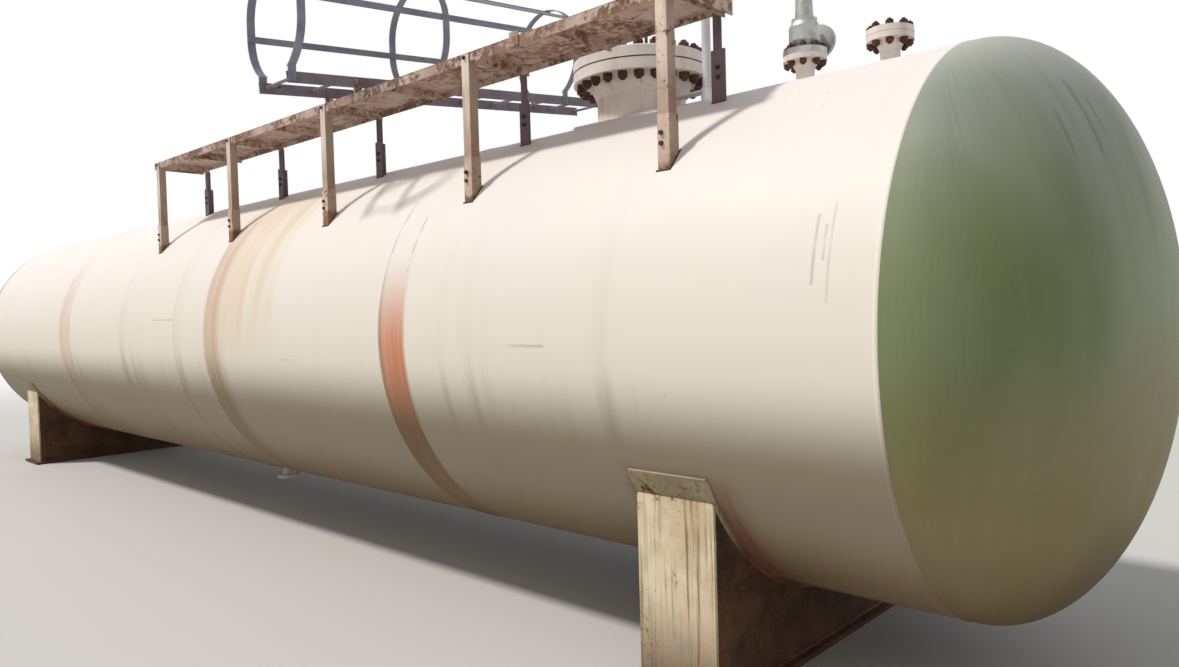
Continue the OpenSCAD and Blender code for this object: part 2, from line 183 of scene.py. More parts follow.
def paintOver(look, factor, under, over):       # gives what lays one more tint over the paint each time
    colour = blend(factor, tone(look[under]), tone(look[over]))

    def lay(mask, tint):
        nonlocal colour
        colour = blend(mask, colour, tint if isSocket(tint) else tone(look[tint]))
        return colour
    return lay


def noise(place, scale, detail=4, roughness=0.55, distortion=0):
    return put(place.id_data, "TexNoise", {"Vector": place, "Scale": scale, "Detail": detail,
               "Roughness": roughness, "Distortion": distortion}).outputs["Fac"]


def stretch(place, scale, move=(0, 0, 0)):
    return put(place.id_data, "Mapping", {"Vector": place, "Scale": scale, "Location": move}).outputs[0]


def scaled(place, size):
    return put(place.id_data, "VectorMath", {0: place, 3: size}, operation="SCALE").outputs[0]


def split(place):
    return put(place.id_data, "SeparateXYZ", {0: place}).outputs


def objectPlace(tree):
    return put(tree, "TexCoord").outputs["Object"]


def surfaceNormal(tree):
    return put(tree, "NewGeometry").outputs["Normal"]


def newGroup(name, takes, gives):
    group = bpy.data.node_groups.new(name, "ShaderNodeTree")
    for label, start in takes.items():
        kind = "Float" if isinstance(start, float) else "Color" if len(start) == 4 else "Vector"
        socket = group.interface.new_socket(name=label, in_out="INPUT", socket_type="NodeSocket" + kind)
        socket.default_value = start
    for label, kind in gives.items():
        group.interface.new_socket(name=label, in_out="OUTPUT", socket_type="NodeSocket" + kind)
    return group, group.nodes.new("NodeGroupInput").outputs


def finishGroup(group, **values):
    feed(group.nodes.new("NodeGroupOutput"), values)
    return group


def use(tree, group, **inputs):
    node = tree.nodes.new("ShaderNodeGroup")
    node.node_tree = group
    feed(node, inputs)
    return node.outputs


def newMaterial(name):
    material = bpy.data.materials.new(name)
    material.use_nodes = True
    return material, material.node_tree


def finishMaterial(material, colour, roughness, height, depth, metallic=0, sheen=0.4):
    tree = material.node_tree
    bump = put(tree, "Bump", {"Height": height, "Distance": depth, "Strength": 1})
    feed(tree.nodes["Principled BSDF"], {
        "Base Color": colour, "Roughness": roughness, "Metallic": metallic,
        "Specular IOR Level": sheen, "Normal": bump.outputs[0]})
    return material


# Shared effects as node groups

flowLook = {"perDegree": 0.02, "sideShift": 3.7}        # the shift gives each side streaks of its own


def makeRoundTank():                # place on the tank: along it, and round it from the crest
    group, _ = newGroup("roundTank", {}, {"Along": "Float", "Degrees": "Float", "Flow": "Vector"})
    x, y, z = split(objectPlace(group))
    degrees = times(calc("ARCTAN2", calc("ABSOLUTE", y), minus(z, axisHeight)), 180 / math.pi)
    side = times(calc("SIGN", y), flowLook["sideShift"])
    flow = put(group, "CombineXYZ", {0: x, 1: times(degrees, flowLook["perDegree"]), 2: side})
    return finishGroup(group, Along=x, Degrees=degrees, Flow=flow.outputs[0])


rainLook = {"fineShare": 0.65, "broadScale": (0.23, 0.9, 1), "start": 0.72, "reach": 0.4, "soft": 0.22}


def makeRainStreaks():              # fine runs down from the crest, broken along their length
    group, take = newGroup("rainStreaks", {"Flow": (0.0, 0.0, 0.0), "Fineness": 9.0, "Length": 0.5,
                                           "Cover": 0.5}, {"Mask": "Float"})
    scale = put(group, "CombineXYZ", {0: take["Fineness"], 1: take["Length"], 2: 1.0}).outputs[0]
    fine = put(group, "VectorMath", {0: take["Flow"], 1: scale}, operation="MULTIPLY").outputs[0]
    runs = noise(fine, 1.0, 5, 0.6, 0.2)
    broad = noise(stretch(fine, rainLook["broadScale"]), 1.0, 3)
    both = share(runs, rainLook["fineShare"], broad)
    return finishGroup(group, Mask=covered(both, take["Cover"], rainLook))


edgeLook = {"sharpness": 3.0, "lift": 0.2, "start": 0.55, "reach": 0.5, "soft": 0.14}


def makeEdgeWear():                 # bare edges, found by how far a rounded edge would turn the surface
    group, take = newGroup("edgeWear", {"Width": 0.004, "Cover": 0.5, "Grain": 60.0}, {"Mask": "Float"})
    rounded = put(group, "Bevel", {"Radius": take["Width"]}, samples=4).outputs[0]
    turned = put(group, "VectorMath", {0: rounded, 1: surfaceNormal(group)}, operation="DOT_PRODUCT")
    edge = calc("MULTIPLY", minus(1.0, turned.outputs["Value"]), edgeLook["sharpness"], clamp=True)
    chips = noise(objectPlace(group), take["Grain"], 4, 0.65)
    chipped = times(edge, plus(chips, edgeLook["lift"]))
    return finishGroup(group, Mask=covered(chipped, take["Cover"], edgeLook))


oldRust = {"rustDark": (62, 36, 26), "rustBright": (138, 82, 52), "powder": (176, 108, 66),
           "broad": 7.0, "fine": 75.0, "plates": 34.0, "broadShare": 0.6, "powderShare": 0.35}


def makeScale(look):                # layered rust: plates, pits and a two-tone colour
    takes = {"Size": 1.0, "Dark": tone(look["rustDark"]), "Bright": tone(look["rustBright"])}
    group, take = newGroup("rustScale", takes, {"Color": "Color", "Height": "Float"})
    place = scaled(objectPlace(group), take["Size"])
    broad = noise(place, look["broad"], 6, 0.62, 0.3)
    fine = noise(place, look["fine"], 5, 0.7)
    plates = put(group, "TexVoronoi", {"Vector": place, "Scale": look["plates"], "Detail": 2.0},
                 feature="F1").outputs["Distance"]
    mixed = share(broad, look["broadShare"], fine)
    colour = blend(fade(mixed, 0.36, 0.62), take["Dark"], take["Bright"])
    colour = blend(fade(fine, 0.55, 0.75, 0, look["powderShare"]), colour, tone(look["powder"]))
    return finishGroup(group, Color=colour, Height=share(plates, 0.5, fine))


flakeLook = {"islands": 2.6, "chips": 21.0, "start": 0.7, "reach": 0.42, "soft": 0.018, "rim": 0.05}


def makeFlakes(look):               # old paint that has let go in islands
    group, take = newGroup("paintFlakes", {"Size": 1.0, "Loss": 0.5, "Down": 0.0},
                           {"Bare": "Float", "Rim": "Float"})
    place = scaled(objectPlace(group), take["Size"])
    islands = noise(place, look["islands"], 5, 0.6, 0.4)
    chips = noise(place, look["chips"], 6, 0.62, 0.5)
    both = share(islands, 0.5, chips)
    below = times(fade(split(surfaceNormal(group))[2], -0.2, -0.9), take["Down"])
    low = minus(look["start"], times(plus(take["Loss"], below), look["reach"]))
    return finishGroup(group, Bare=fade(both, low, plus(low, look["soft"])),
                       Rim=fade(both, minus(low, look["rim"]), low))


def makeDomeFlow():                 # rain lines on a dished end, which part at its top and fall down it
    group, _ = newGroup("domeFlow", {}, {"Rise": "Float", "Reach": "Float", "Flow": "Vector"})
    x, y, z = split(objectPlace(group))
    rise = minus(z, axisHeight)
    reach = larger(minus(x, frontSeam), minus(rearSeam, x))
    line = calc("DIVIDE", y, calc("POWER", larger(reach, 0.02), 0.25))
    flow = put(group, "CombineXYZ", {0: line, 1: rise})
    return finishGroup(group, Rise=rise, Reach=reach, Flow=flow.outputs[0])


roundTank = makeRoundTank()
rainStreaks = makeRainStreaks()
edgeWear = makeEdgeWear()
rustScale = makeScale(oldRust)
paintFlakes = makeFlakes(flakeLook)
domeFlow = makeDomeFlow()
mostOfNoise = (0.35, 0.65)          # where a noise has most of its values
print("shared effects built")


def rustOn(tree, size, look):
    return use(tree, rustScale, Size=size, Dark=tone(look["rustDark"]), Bright=tone(look["rustBright"]))


def plateHeight(wavePlace, waves, place, grain):        # rolled plate: long waves and a fine grain
    return plus(times(noise(wavePlace, waves, 2, 0.4), 3.0), times(noise(place, grain, 3, 0.6), 0.1))


# Old off-white paint of the tank. A fade gives the degrees round from the crest where a layer
# starts and where it is full, and how strong it is at both.

tankLook = {
    "paint": (246, 238, 228),
    "paintCool": (246, 238, 234),
    "cloud": 0.8,
    "chalk": (247, 239, 234), "chalkFade": (78, 40, 0, 0.75),
    "lower": (243, 235, 218), "lowerFade": (62, 100, 0, 0.8),
    "streak": (158, 146, 126), "streakFade": (35, 112, 0.10, 0.55),
    "streaks": (({"Fineness": 24.0, "Length": 0.55, "Cover": 0.38}, 0.3),
                ({"Fineness": 6.0, "Length": 0.3, "Cover": 0.5}, 0.34)),    # each with its strength
    "ragged": 5.0,              # degrees that the underside's upper edge goes up and down
    # the underside is darker towards the bottom: dirt, and painted shade under the tank
    "belly": (134, 118, 93), "bellyFade": (92, 111, 0, 0.88),
    "soil": (112, 90, 58), "soilFade": (118, 142, 0, 0.85),
    "rust": (214, 136, 100),
    "rustPale": (208, 172, 138),
    "rustDark": (116, 83, 46), "ochreFootStainShadeFade": (88, 112, 0, 0.6), "deepRustAndShadeFade": (92, 116),
    "rustRed": (122, 58, 34),
    "ochre": (232, 208, 168),
    "scratch": (4, 9, 9),       # how the scratches are broken up
    "specks": 46.0, "speckShare": 0.6,
    "waves": 1.6, "grain": 180.0, "depth": 0.0012,
}


# Stains that run down: both sides along the tank and how soft they are, the degrees where a stain
# starts, is full and ends, and its runs' fineness, cover and strength

vividBand = {"sides": (-1.87, -1.67), "soft": (0.012, 0.04), "wobble": 0.02, "degrees": (65, 95, 150),
             "runs": (34.0, 0.9, 0.13)}
vividEdge = dict(vividBand, sides=(-1.885, -1.86), soft=(0.006, 0.006), runs=(34.0, 0.9, 0.3),
                 tint="rustDark", strength=0.5)
ochreBand = {"sides": (-4.17, -4.03), "soft": (0.04, 0.2), "wobble": 0.05, "degrees": (24, 62, 150),
             "runs": (18.0, 0.85, 0.4), "tint": "rustPale", "strength": 0.75}
rearBand = {"sides": (-7.66, -7.42), "soft": (0.05, 0.12), "wobble": 0.08, "degrees": (40, 85, 140),
            "runs": (18.0, 0.6, 0.6), "tint": "rust", "strength": 0.7}
yellowFan = {"sides": (-3.98, -3.4), "soft": (0.15, 0.4), "wobble": 0.2, "degrees": (14, 44, 78),
             "runs": (12.0, 0.8, 0.6), "tint": "ochre", "strength": 0.75}
saddleStain = {"soft": (0.07, 0.22), "wobble": 0.1, "degrees": (114, 122, 185),
               "runs": (9.0, 0.8, 0.4), "tint": "rustRed", "strength": 0.85}
saddleStains = [dict(saddleStain, sides=[corner.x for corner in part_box(name)])
                for name in ("fixed_wear_plate", "sliding_wear_plate")]
bandLook = {"endSoft": 25, "runLength": 0.4, "wobbleScale": 5.0}
smallMarks = (                      # along from and to, degrees from and to, how strong
    (-0.92, -0.58, 90.7, 91.0, 0.32), (-5.17, -4.75, 83.0, 83.3, 0.28),
    (-3.02, -2.86, 96.2, 96.5, 0.25), (-1.68, -1.668, 56, 72, 0.3),
    (-1.873, -1.866, 50, 66, 0.3), (0.735, 0.741, 68, 80, 0.34),
    (0.772, 0.776, 70, 76, 0.3), (0.795, 0.799, 66, 83, 0.22),
)
markSoft = (0.006, 0.3)             # metres along the tank, degrees round it


def bandMask(tank, band):
    along, degrees, flow = tank["Along"], tank["Degrees"], tank["Flow"]
    (left, right), (softLeft, softRight) = band["sides"], band["soft"]
    (start, full, end), (fineness, cover, streaky) = band["degrees"], band["runs"]
    place = plus(along, wander(noise(flow, bandLook["wobbleScale"], 3), band["wobble"]))
    across = times(fade(place, left - softLeft, left), fade(place, right + softRight, right))
    down = times(fade(degrees, start, full), fade(degrees, end + bandLook["endSoft"], end))
    runs = use(flow.id_data, rainStreaks, Flow=flow, Fineness=fineness, Length=bandLook["runLength"],
               Cover=cover)["Mask"]
    return times(times(across, down), fade(runs, 0, 1, 1 - streaky, 1))


def markMask(tank, mark):
    along, degrees = tank["Along"], tank["Degrees"]
    (left, right, upper, lower, strength), (wide, high) = mark, markSoft
    across = times(fade(along, left - wide, left), fade(along, right + wide, right))
    down = times(fade(degrees, upper - high, upper), fade(degrees, lower + high, lower))
    return times(times(across, down), strength)


def makeShellPaint(look):
    material, tree = newMaterial("shellPaint")
    tank = use(tree, roundTank)
    degrees = tank["Degrees"]
    place = objectPlace(tree)
    cloud = noise(place, look["cloud"], 4, 0.6)
    lay = paintOver(look, fade(cloud, *mostOfNoise), "paint", "paintCool")
    for tint in ("chalk", "lower"):
        lay(fade(degrees, *look[tint + "Fade"]), tint)
    wet = fade(degrees, *look["streakFade"])
    for streaks, strength in look["streaks"]:
        runs = use(tree, rainStreaks, Flow=tank["Flow"], **streaks)["Mask"]
        lay(times(runs, times(wet, strength)), "streak")
    ragged = plus(degrees, wander(runs, look["ragged"]))
    masks = {}
    for name, band in (("fan", yellowFan), ("ochre", ochreBand), ("rear", rearBand)):
        masks[name] = bandMask(tank, band)
        lay(times(masks[name], band["strength"]), band["tint"])
    # dirt and painted shade on the underside
    for tint in ("belly", "soil"):
        lay(fade(ragged, *look[tint + "Fade"]), tint)
    # the ochre stain's lower part turns dark brown: stain, and painted shadow
    lay(times(masks["ochre"], fade(degrees, *look["ochreFootStainShadeFade"])), "rustDark")
    # the vivid stain turns dark brown lower down: rust, and painted shade on the underside
    deepRustAndShade = blend(fade(degrees, *look["deepRustAndShadeFade"]), tone(look["rust"]), tone(look["rustDark"]))
    lay(bandMask(tank, vividBand), deepRustAndShade)
    for band in [vividEdge] + saddleStains:
        lay(times(bandMask(tank, band), band["strength"]), band["tint"])
    found = markMask(tank, smallMarks[0])
    for mark in smallMarks[1:]:
        found = larger(found, markMask(tank, mark))
    broken = fade(noise(stretch(place, look["scratch"]), 1.0, 2), 0.3, 0.62)
    lay(times(found, broken), "rustDark")
    specks = fade(noise(place, look["specks"], 2, 0.5), 0.74, 0.78)
    sparse = times(specks, fade(noise(place, 1.3, 2), 0.52, 0.62))
    colour = lay(times(sparse, look["speckShare"]), "rustDark")
    roughness = fade(cloud, 0.3, 0.7, 0.52, 0.66)
    height = plateHeight(stretch(place, (0.8, 1, 1)), look["waves"], place, look["grain"])
    return finishMaterial(material, colour, roughness, height, look["depth"])


# Weathered, algae-stained paint of the dished ends, made darker and greener overall as painted shade and
# painted green leaf light. A fade is counted in metres over the tank's axis.

headLook = {
    # the end's paint and tints: algae and dirt, darkened and greened as painted shade and painted green
    # light
    "paint": (151, 156, 138),
    "grey": (142, 151, 141),
    "green": (128, 137, 99), "greenTop": (1.0, 0.15), "greenFoot": (-0.9, -0.2, 0.35, 1.0),
    "greenShare": 0.8,
    "deepGreen": (106, 117, 68), "farSide": (-0.25, 0.3, 0, 0.8), "deepShare": 0.85,
    "ragged": 0.5,
    "tan": (134, 118, 72), "tanFade": (0.1, -0.6, 0, 0.85),
    # brown at the foot of the end: dirt, and painted shade under it
    "brown": (90, 66, 30), "brownFade": (-0.6, -1.1, 0, 0.75),
    "streak": (116, 114, 92), "streakFade": (-0.4, 0.8, 0.12, 0.3),
    "paleShare": 0.1,
    # the end's top is lighter: less staining, and painted light
    "crest": (188, 187, 178), "crestLightFade": (0.84, 1.14, 0, 0.75),
    "rust": (116, 90, 66), "rustFade": (0.4, 0.95, 0, 0.32),
    "drip": (92, 82, 64), "sway": 0.05, "dripEnds": (0.08, 0.06, 0.08),
    "specks": 30.0, "speckShare": 0.6,
    "waves": 1.5, "grain": 160.0, "depth": 0.0012,
}
headDrips = (                       # rain line, half its width, lowest and highest rise, how strong
    (-0.555, 0.016, 0.62, 0.95, 0.55), (-0.455, 0.013, 0.72, 0.90, 0.5),
    (-0.775, 0.015, 0.62, 0.82, 0.45),
)


def makeHeadStainAndShade(look):
    material, tree = newMaterial("headStainAndShade")
    place = objectPlace(tree)
    dome = use(tree, domeFlow)
    rise, flow = dome["Rise"], dome["Flow"]
    edge = fade(dome["Reach"], 0.02, 0.2)       # the runs are faint where they crowd beside the seam
    cloud = noise(stretch(flow, (1.4, 0.5, 1)), 1.0, 3, 0.5)
    lay = paintOver(look, fade(cloud, *mostOfNoise), "paint", "grey")
    patches = noise(stretch(place, (0, 2.3, 0.8), (0, 0.35, 0.2)), 1.0, 3, 0.4)
    middle = times(fade(rise, *look["greenTop"]), fade(rise, *look["greenFoot"]))
    lay(times(middle, look["greenShare"]), "green")
    farSide = times(fade(split(place)[1], *look["farSide"]), middle)
    green = larger(times(fade(patches, 0.42, 0.7), middle), farSide)
    lay(times(green, look["deepShare"]), "deepGreen")
    ragged = plus(rise, wander(patches, look["ragged"]))
    for tint in ("tan", "brown"):
        lay(fade(ragged, *look[tint + "Fade"]), tint)
    drips = noise(stretch(flow, (9, 0.5, 1)), 1.0, 4, 0.55, 0.1)
    dripMask = times(fade(drips, 0.45, 0.75), fade(rise, *look["streakFade"]))
    lay(times(dripMask, edge), "streak")
    pale = noise(stretch(flow, (6, 0.4, 1), (3, 1, 0)), 1.0, 3, 0.45)
    lay(times(fade(pale, 0.45, 0.8, 0, look["paleShare"]), edge), "paint")
    # lighter top of the end: less staining, and painted light
    lay(fade(rise, *look["crestLightFade"]), "crest")
    fine = noise(stretch(flow, (22, 0.9, 1), (7, 0, 2)), 1.0, 3, 0.5)
    lay(times(fade(fine, 0.61, 0.72), fade(rise, *look["rustFade"])), "rust")
    line = plus(split(flow)[0], wander(noise(flow, 4.0, 2), look["sway"]))
    under, over, top = look["dripEnds"]         # how softly the drips end
    for at, width, low, high, strength in headDrips:
        near = fade(calc("ABSOLUTE", minus(line, at)), width * 1.6, 0)
        along = times(fade(rise, low - under, low + over), fade(rise, high, high - top))
        lay(times(times(near, along), strength), "drip")
    specks = fade(noise(place, look["specks"], 2, 0.5), 0.755, 0.79)
    colour = lay(times(specks, look["speckShare"]), "rust")
    roughness = fade(patches, *mostOfNoise, 0.5, 0.66)
    height = plateHeight(place, look["waves"], place, look["grain"])
    return finishMaterial(material, colour, roughness, height, look["depth"])


# Painted fittings and saddle plates: the same paint with chipped edges and rust runs

def makeFittingPaint(name, look):
    material, tree = newMaterial(name)
    place = objectPlace(tree)
    cloud = noise(place, 5.0, 5, 0.6)
    lay = paintOver(look, fade(cloud, 0.3, 0.7), "paint", "shaded")
    towardsHead, _, upward = split(surfaceNormal(tree))
    runs = noise(stretch(place, (look["runScale"], look["runScale"], 1.6)), 1.0, 4, 0.6, 0.15)
    upright = fade(calc("ABSOLUTE", upward), 0.8, 0.3)
    lay(times(fade(runs, 0.5, 0.72), times(upright, look["runs"])), "run")
    lay(fade(upward, -0.1, -0.9, 0, look["under"]), "run")
    # painted shade: faces turned towards the front head are darkened
    if look["headSideShade"]:
        lay(fade(towardsHead, 0.4, 0.9, 0, look["headSideShade"]), "grime")
    ragged = plus(split(place)[2], wander(cloud, 0.4))
    foot = fade(ragged, *look["foot"])
    scale = rustOn(tree, 1.0, look)
    flakes = use(tree, paintFlakes, Size=look["flakeSize"], Loss=look["loss"], Down=look["lossBelow"])
    worn = use(tree, edgeWear, Width=look["edge"], Cover=look["edgeCover"], Grain=70.0)["Mask"]
    bare = larger(larger(flakes["Bare"], worn), foot)
    lay(times(larger(flakes["Rim"], worn), 0.55), "run")
    colour = lay(bare, scale["Color"])
    roughness = plus(times(bare, 0.25), 0.55)
    height = plus(times(minus(1.0, bare), 0.5), times(scale["Height"], bare))
    return finishMaterial(material, colour, roughness, height, 0.0009)


manwayLook = {
    "paint": (246, 237, 231), "shaded": (232, 220, 210), "run": (160, 128, 104),
    "runs": 0.34, "runScale": 14,               # how strong and how fine the runs are
    "under": 0.3,                               # faces that look down are darker
    "headSideShade": 0, "grime": (150, 130, 110),      # painted shade on faces turned to the front head
    "foot": (-2, -3, 0, 0),     # rust that climbs from below: heights, and strength at both
    "flakeSize": 2.2, "loss": 0.1, "lossBelow": 0.08, "edge": 0.006, "edgeCover": 0.42,
    "rustDark": oldRust["rustDark"], "rustBright": oldRust["rustBright"],
}
davitLook = dict(manwayLook, paint=(226, 226, 230), shaded=(208, 208, 214), run=(168, 140, 118),
                 runs=0.3, under=0.2, flakeSize=3.0, loss=0.05, edge=0.003)
saddleLook = dict(manwayLook, paint=(240, 224, 194), shaded=(204, 181, 144), run=(136, 110, 80),
                  runs=0.95, runScale=56, under=0.6, foot=(0.45, 0.05, 0, 0.75), flakeSize=1.6, loss=0.2,
                  edgeCover=0.6, rustDark=(56, 38, 26), rustBright=(116, 80, 52))
wearLook = dict(saddleLook, paint=(182, 170, 140), shaded=(152, 140, 110), run=(110, 84, 58),
                foot=(0.82, 0.58, 0, 0.92), edge=0.004, rustBright=(134, 70, 44))
walkwayLook = dict(manwayLook, paint=(214, 193, 178), shaded=(184, 158, 142), run=(144, 106, 88),
                   runs=0.55, under=0.22, flakeSize=1.3, loss=0.44, lossBelow=-0.02, edge=0.004,
                   edgeCover=0.75, rustDark=(98, 74, 64), rustBright=(158, 122, 100))
postLook = dict(walkwayLook, paint=(246, 228, 212), shaded=(228, 204, 188), run=(152, 108, 88), runs=0.6,
                under=0.4, foot=(2.76, 2.5, 0, 0.5), flakeSize=2.4, loss=0.2, edge=0.003,
                edgeCover=0.72, rustDark=(82, 50, 38), rustBright=(148, 98, 68), headSideShade=0.75)
postFootLook = dict(postLook, paint=(238, 216, 200), shaded=(214, 184, 166),
                    foot=(2.335, 2.262, 0, 0.9), loss=0.34, rustDark=(84, 60, 42))
# the inner posts' paint is set dark as painted shade from the walkway above; their rust and runs are their
# own
innerPostShadeLook = dict(postLook, headSideShade=0, paint=(124, 108, 112), shaded=(102, 88, 92),
                     run=(86, 62, 54), loss=0.24, rustDark=(66, 44, 38), rustBright=(118, 82, 64))


def makeRustedSteel(name, look):
    material, tree = newMaterial(name)
    scale = rustOn(tree, look["size"], look)
    patch = fade(noise(objectPlace(tree), 6.0, 5, 0.6), 0.56, 0.72, 0, look["primer"])
    colour = blend(patch, scale["Color"], tone(look["coat"]))
    return finishMaterial(material, colour, 0.82, scale["Height"], look["depth"])


webLook = {"size": 0.8, "rustDark": (52, 35, 24), "rustBright": (98, 66, 42),
           "coat": (116, 88, 62), "primer": 0.4, "depth": 0.0016}
boltLook = {"size": 3.0, "rustDark": (46, 34, 30), "rustBright": (96, 66, 50),
            "coat": (70, 60, 56), "primer": 0.6, "depth": 0.0006}


def makeDarkPaint(name, look):
    material, tree = newMaterial(name)
    cloud = noise(objectPlace(tree), 8.0, 5, 0.6)
    lay = paintOver(look, fade(cloud, 0.3, 0.7), "paint", "faded")
    scale = rustOn(tree, 1.6, look)
    flakes = use(tree, paintFlakes, Size=2.6, Loss=look["loss"], Down=0.1)
    worn = use(tree, edgeWear, Width=0.003, Cover=0.45, Grain=80.0)["Mask"]
    bare = larger(flakes["Bare"], times(worn, 0.8))
    lay(bare, scale["Color"])
    settled = fade(split(surfaceNormal(tree))[2], 0.5, 1, 0, look["settled"])
    colour = lay(settled, "dust")
    roughness = plus(times(bare, 0.3), 0.48)
    height = plus(times(minus(1.0, bare), 0.6), times(scale["Height"], bare))
    return finishMaterial(material, colour, roughness, height, 0.0006)


ladderLook = {"paint": (112, 101, 110), "faded": (136, 125, 134), "loss": 0.22,
              "dust": (164, 158, 162), "settled": 0.3,
              "rustDark": (58, 42, 36), "rustBright": (104, 76, 60)}
cagePaintLook = dict(ladderLook, paint=(126, 127, 142), faded=(148, 149, 163), loss=0.16)
valveLook = {"bright": (188, 188, 184), "dull": (150, 150, 145), "stain": (120, 96, 72),
             "metallic": 0.85}
rubberLook = {"dark": (20, 18, 16), "worn": (44, 40, 36)}


def makeValveMetal(look):
    material, tree = newMaterial("valveMetal")
    place = objectPlace(tree)
    cast = noise(place, 120.0, 5, 0.7)
    cloud = noise(place, 11.0, 4, 0.6)
    lay = paintOver(look, fade(cloud, 0.35, 0.7), "bright", "dull")
    runs = noise(stretch(place, (30, 30, 4)), 1.0, 4, 0.6)
    lay(fade(runs, 0.56, 0.74, 0, 0.5), "stain")
    worn = use(tree, edgeWear, Width=0.003, Cover=0.4, Grain=90.0)["Mask"]
    colour = lay(times(worn, 0.5), "bright")
    roughness = fade(cloud, 0.3, 0.7, 0.38, 0.55)
    return finishMaterial(material, colour, roughness, cast, 0.0008, look["metallic"])


def makeRubber(look):
    material, tree = newMaterial("gasketSheet")
    grain = noise(objectPlace(tree), 220.0, 3, 0.6)
    colour = blend(grain, tone(look["dark"]), tone(look["worn"]))
    return finishMaterial(material, colour, 0.8, grain, 0.0004)


shellPaint = makeShellPaint(tankLook)
headStainAndShade = makeHeadStainAndShade(headLook)
manwayPaint = makeFittingPaint("manwayPaint", manwayLook)
davitPaint = makeFittingPaint("davitPaint", davitLook)
saddlePaint = makeFittingPaint("saddlePaint", saddleLook)
wearPaint = makeFittingPaint("wearPlatePaint", wearLook)
walkwayPaint = makeFittingPaint("walkwayPaint", walkwayLook)
postPaint = makeFittingPaint("postPaint", postLook)
postFootPaint = makeFittingPaint("postFootPaint", postFootLook)
innerPostPaint = makeFittingPaint("innerPostPaint", innerPostShadeLook)
webRust = makeRustedSteel("webRust", webLook)
boltRust = makeRustedSteel("boltRust", boltLook)
ladderPaint = makeDarkPaint("ladderPaint", ladderLook)
cagePaint = makeDarkPaint("cagePaint", cagePaintLook)
valveMetal = makeValveMetal(valveLook)
gasketSheet = makeRubber(rubberLook)

nodeFinishes = (
    (shellPaint, ["shell", "manway_pad"]),
    (headStainAndShade, ["front_head", "rear_head"]),
    (wearPaint, ["fixed_wear_plate", "sliding_wear_plate"]),
    (saddlePaint, ["fixed_saddle_ribs", "sliding_saddle_ribs"]),
    (webRust, ["fixed_saddle_webs", "sliding_saddle_webs", "fixed_base_plate",
               "sliding_base_plate"]),
    (manwayPaint, ["manway_neck", "manway_cover", "relief_nozzle", "vapour_nozzle", "vapour_cover",
                   "bottom_outlet"]),
    (davitPaint, ["davit_socket", "davit_arm"]),
    (valveMetal, ["relief_valve"]),
    (walkwayPaint, ["walkway_frame", "walkway_deck", "walkway_kerb", "ladder_cleats"]),
    (postPaint, outerPosts),
    (postFootPaint, ["outer_post_feet"]),
    (innerPostPaint, innerPosts + ["inner_post_feet"]),
    (ladderPaint, ["ladder_left_stringer", "ladder_right_stringer", "ladder_rungs"]),
    (cagePaint, ["cage_hoop_1", "cage_hoop_2", "cage_hoop_3", "cage_straps"]),
)

for finish, names in nodeFinishes:
    for name in names:
        mesh = nodes[name].data
        mesh.materials.clear()
        mesh.materials.append(finish)
print("materials on", sum(len(names) for finish, names in nodeFinishes), "nodes")


# Helpers for modelling

def deselect():
    if bpy.context.object and bpy.context.object.mode != "OBJECT":
        bpy.ops.object.mode_set(mode="OBJECT")
    bpy.ops.object.select_all(action="DESELECT")


def pick(*pieces):                  # also leaves edit mode
    deselect()
    for piece in pieces:
        piece.select_set(True)
    bpy.context.view_layer.objects.active = pieces[0]


def applyPlace(piece):
    pick(piece)
    bpy.ops.object.transform_apply(location=True, rotation=True, scale=True)


def moved(piece, location=(0, 0, 0), rotation=(0, 0, 0)):
    piece.location = location
    piece.rotation_euler = rotation
    applyPlace(piece)
    return piece


def newShape(kind, **settings):     # a primitive with its place in its mesh
    deselect()
    getattr(bpy.ops.mesh, f"primitive_{kind}_add")(**settings)
    piece = bpy.context.object
    applyPlace(piece)
    return piece


def editAll(piece):
    pick(piece)
    bpy.ops.object.mode_set(mode="EDIT")
    bpy.ops.mesh.select_mode(type="VERT")
    bpy.ops.mesh.select_all(action="SELECT")


def leaveEdit():
    bpy.ops.object.mode_set(mode="OBJECT")


def editSome(piece, kind, parts, test):     # edit mode with only those faces or points selected
    editAll(piece)
    bpy.ops.mesh.select_mode(type=kind)
    bpy.ops.mesh.select_all(action="DESELECT")
    leaveEdit()
    for part in parts:
        part.select = test(part)
    bpy.ops.object.mode_set(mode="EDIT")


def editTop(piece, both=False):
    editSome(piece, "FACE", piece.data.polygons,
             lambda face: (abs(face.normal.z) if both else face.normal.z) > 0.9)


def insetTop(piece, thickness, depth, both=False):
    editTop(piece, both)
    bpy.ops.mesh.inset(thickness=thickness, depth=depth)
    leaveEdit()


def tidyMesh(piece, merge=0.00002):
    editAll(piece)
    bpy.ops.mesh.remove_doubles(threshold=merge)
    bpy.ops.mesh.normals_make_consistent(inside=False)
    leaveEdit()


def finishPiece(piece, name, material, smooth=35):
    applyPlace(piece)
    bpy.ops.object.shade_smooth_by_angle(angle=math.radians(smooth))
    piece.name = name
    piece.data.name = name
    piece.data.materials.clear()
    piece.data.materials.append(material)
    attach(piece, "root")
    return piece


def joinPieces(pieces):
    pick(*pieces)
    if len(pieces) > 1:
        bpy.ops.object.join()
    return pieces[0]


def repeat(piece, places):          # one copy with its own mesh at each place, joined at the end
    copies = []
    for place in places:
        pick(piece)
        bpy.ops.object.duplicate(linked=False)
        copies.append(bpy.context.object)
        copies[-1].matrix_world = place
    bpy.data.objects.remove(piece)
    return joinPieces(copies)


def facing(place, direction, turn=0.0):
    turned = Vector((0, 0, 1)).rotation_difference(Vector(direction)).to_matrix().to_4x4()
    return Matrix.Translation(place) @ turned @ Matrix.Rotation(turn, 4, "Z")


